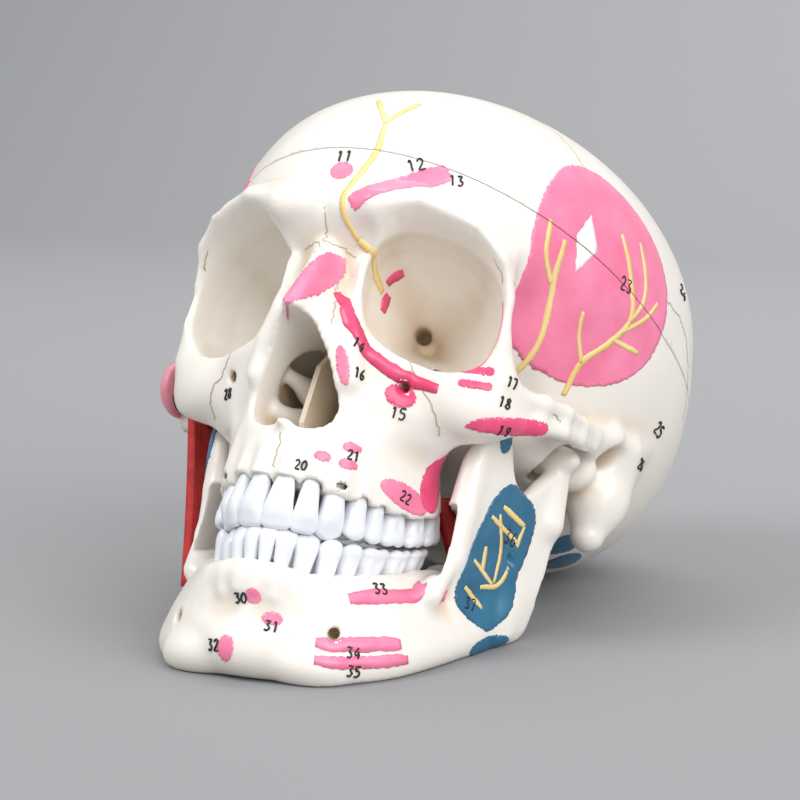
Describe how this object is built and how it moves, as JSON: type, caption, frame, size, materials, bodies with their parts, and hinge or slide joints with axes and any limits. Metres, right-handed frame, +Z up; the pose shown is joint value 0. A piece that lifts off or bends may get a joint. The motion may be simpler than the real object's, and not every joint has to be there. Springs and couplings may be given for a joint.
{
  "type": "human skull teaching model",
  "caption": "Life-size anatomical skull model with a lift-off skull cap, a swinging lower jaw on elastic muscle straps, and separate teeth.",
  "frame": {"origin": "middle of the footprint on the table, at the underside of the lower jaw and the back of the head", "axes": "+X to the skull's own left, -Y the way the face looks, +Z up as the model rests on a table"},
  "size_m": [0.142, 0.2239, 0.1605],
  "materials": {
    "bone": "satin cast plastic, ivory white, with painted muscle areas",
    "teeth": "glossy cool white",
    "elastic": "ribbed red elastic",
    "pad": "soft pink, matt",
    "screws": "bright zinc plated"
  },
  "bodies": {
    "lower_jaw": {"lower_jaw": "bone", "lower_central_incisor_left": "teeth", "lower_central_incisor_right": "teeth", "lower_lateral_incisor_left": "teeth", "lower_lateral_incisor_right": "teeth", "lower_canine_left": "teeth", "lower_canine_right": "teeth", "lower_first_premolar_left": "teeth", "lower_first_premolar_right": "teeth", "lower_second_premolar_left": "teeth", "lower_second_premolar_right": "teeth", "lower_first_molar_left": "teeth", "lower_first_molar_right": "teeth", "lower_second_molar_left": "teeth", "lower_second_molar_right": "teeth", "lower_third_molar_left": "teeth", "lower_third_molar_right": "teeth", "masseter_strap_right": "elastic", "medial_pterygoid_strap_left": "elastic", "medial_pterygoid_strap_right": "elastic", "masseter_right_lower_screw": "screws", "medial_pterygoid_left_lower_screw": "screws", "medial_pterygoid_right_lower_screw": "screws"},
    "cranium": {"cranium": "bone", "nasal_septum": "bone", "masseter_pad_right": "pad", "upper_central_incisor_left": "teeth", "upper_central_incisor_right": "teeth", "upper_lateral_incisor_left": "teeth", "upper_lateral_incisor_right": "teeth", "upper_canine_left": "teeth", "upper_canine_right": "teeth", "upper_first_premolar_left": "teeth", "upper_first_premolar_right": "teeth", "upper_second_premolar_left": "teeth", "upper_second_premolar_right": "teeth", "upper_first_molar_left": "teeth", "upper_first_molar_right": "teeth", "upper_second_molar_left": "teeth", "upper_second_molar_right": "teeth", "upper_third_molar_left": "teeth", "upper_third_molar_right": "teeth", "masseter_right_upper_screw": "screws", "medial_pterygoid_left_upper_screw": "screws", "medial_pterygoid_right_upper_screw": "screws", "cap_dowel_front": "screws", "cap_dowel_left": "screws", "cap_dowel_right": "screws"},
    "skull_cap": {"skull_cap": "bone"}
  },
  "joints": [
    {"name": "jaw_open", "type": "hinge", "parent": "lower_jaw", "child": "cranium", "pos_m": [0, -0.00637, 0.05001], "axis": [-1, 0, 0], "range_deg": [0, 25], "stiffness_Nm_per_rad": 0.3, "deforming": ["masseter_strap_right", "medial_pterygoid_strap_left", "medial_pterygoid_strap_right"]},
    {"name": "cap_lift", "type": "slide", "parent": "cranium", "child": "skull_cap", "axis": [0, 0.6117, 0.7911], "range_m": [0, 0.12]}
  ]
}
